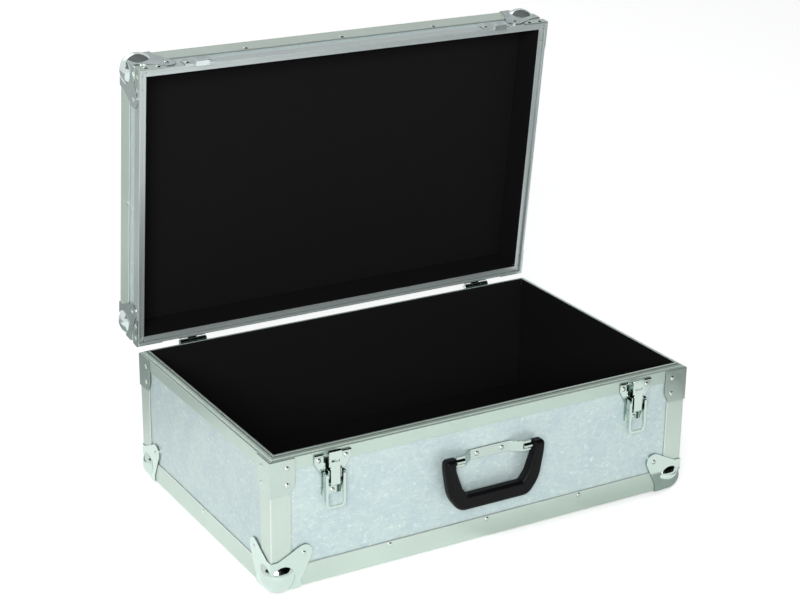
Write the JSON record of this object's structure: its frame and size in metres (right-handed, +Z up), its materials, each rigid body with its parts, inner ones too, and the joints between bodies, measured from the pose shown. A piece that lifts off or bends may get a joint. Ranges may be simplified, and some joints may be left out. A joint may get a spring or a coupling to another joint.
{
  "type": "aluminium case",
  "caption": "Rectangular aluminium-clad carrying case with riveted edge profiles, ball corners, hinged lid, draw latches, swing handle and felt lining.",
  "frame": {"origin": "middle of the floor under the case as it stands with the lid open, so under the centre of its overall box", "axes": "+X to the right along the front, +Y from the front to the hinges, +Z up"},
  "size_m": [0.574, 0.4376, 0.5345],
  "materials": {
    "embossed_aluminium": "stucco embossed sheet",
    "edge_aluminium": "satin anodised extrusion",
    "plywood": "raw plywood",
    "chrome_steel": "polished plating",
    "nickel_steel": "bright nickel plating",
    "rivet_steel": "plated rivet",
    "black_plastic": "moulded, slightly glossy",
    "black_felt": "needle felt lining"
  },
  "bodies": {
    "base": {"base_back_panel": "plywood", "base_ball_corners": "chrome_steel", "base_bottom_edge_back": "edge_aluminium", "base_bottom_edge_front": "edge_aluminium", "base_bottom_edge_left": "edge_aluminium", "base_bottom_edge_right": "edge_aluminium", "base_bottom_panel": "plywood", "base_corner_braces": "edge_aluminium", "base_corner_posts": "edge_aluminium", "base_floor_lining": "black_felt", "base_front_panel": "plywood", "base_left_panel": "plywood", "base_panel_skins": "embossed_aluminium", "base_right_panel": "plywood", "base_rim_back": "edge_aluminium", "base_rim_front": "edge_aluminium", "base_rim_left": "edge_aluminium", "base_rim_right": "edge_aluminium", "base_rivets": "rivet_steel", "base_wall_lining": "black_felt", "handle_bracket": "nickel_steel", "handle_pivot_pins": "nickel_steel", "hinge_base_leaf_left": "chrome_steel", "hinge_base_leaf_right": "chrome_steel", "hinge_pins": "chrome_steel", "latch_pivot_pins": "chrome_steel", "latch_plate_left": "chrome_steel", "latch_plate_right": "chrome_steel"},
    "lid": {"hinge_lid_leaf_left": "chrome_steel", "hinge_lid_leaf_right": "chrome_steel", "latch_catch_left": "chrome_steel", "latch_catch_right": "chrome_steel", "lid_back_panel": "plywood", "lid_ball_corners": "chrome_steel", "lid_corner_braces": "edge_aluminium", "lid_corner_posts": "edge_aluminium", "lid_front_panel": "plywood", "lid_left_panel": "plywood", "lid_panel_skins": "embossed_aluminium", "lid_right_panel": "plywood", "lid_rim_back": "edge_aluminium", "lid_rim_front": "edge_aluminium", "lid_rim_left": "edge_aluminium", "lid_rim_right": "edge_aluminium", "lid_rivets": "rivet_steel", "lid_top_edge_back": "edge_aluminium", "lid_top_edge_front": "edge_aluminium", "lid_top_edge_left": "edge_aluminium", "lid_top_edge_right": "edge_aluminium", "lid_top_lining": "black_felt", "lid_top_panel": "plywood", "lid_wall_lining": "black_felt"},
    "handle": {"handle_grip": "black_plastic"},
    "latch_lever_left": {"latch_lever_left": "chrome_steel", "latch_hook_pin_left": "chrome_steel"},
    "latch_hook_left": {"latch_hook_left": "chrome_steel"},
    "latch_lever_right": {"latch_lever_right": "chrome_steel", "latch_hook_pin_right": "chrome_steel"},
    "latch_hook_right": {"latch_hook_right": "chrome_steel"}
  },
  "joints": [
    {"name": "lid_hinge", "type": "hinge", "parent": "base", "child": "lid", "pos_m": [0, 0.15781, 0.1654], "axis": [-1, 0, 0], "range_deg": [-83.7, 0]},
    {"name": "handle_swing", "type": "hinge", "parent": "base", "child": "handle", "pos_m": [0, -0.21179, 0.117], "axis": [-1, 0, 0], "range_deg": [0, 95]},
    {"name": "latch_lever_left", "type": "hinge", "parent": "base", "child": "latch_lever_left", "pos_m": [-0.2045, -0.20699, 0.138], "axis": [-1, 0, 0], "range_deg": [0, 105]},
    {"name": "latch_hook_left", "type": "hinge", "parent": "latch_lever_left", "child": "latch_hook_left", "pos_m": [-0.2045, -0.20669, 0.126], "axis": [-1, 0, 0], "range_deg": [-105, 0]},
    {"name": "latch_lever_right", "type": "hinge", "parent": "base", "child": "latch_lever_right", "pos_m": [0.2045, -0.20699, 0.138], "axis": [-1, 0, 0], "range_deg": [0, 105]},
    {"name": "latch_hook_right", "type": "hinge", "parent": "latch_lever_right", "child": "latch_hook_right", "pos_m": [0.2045, -0.20669, 0.126], "axis": [-1, 0, 0], "range_deg": [-105, 0]}
  ],
  "couplings": [
    {"joint": "latch_hook_left", "follows": "latch_lever_left", "ratio": -1},
    {"joint": "latch_hook_right", "follows": "latch_lever_right", "ratio": -1}
  ]
}
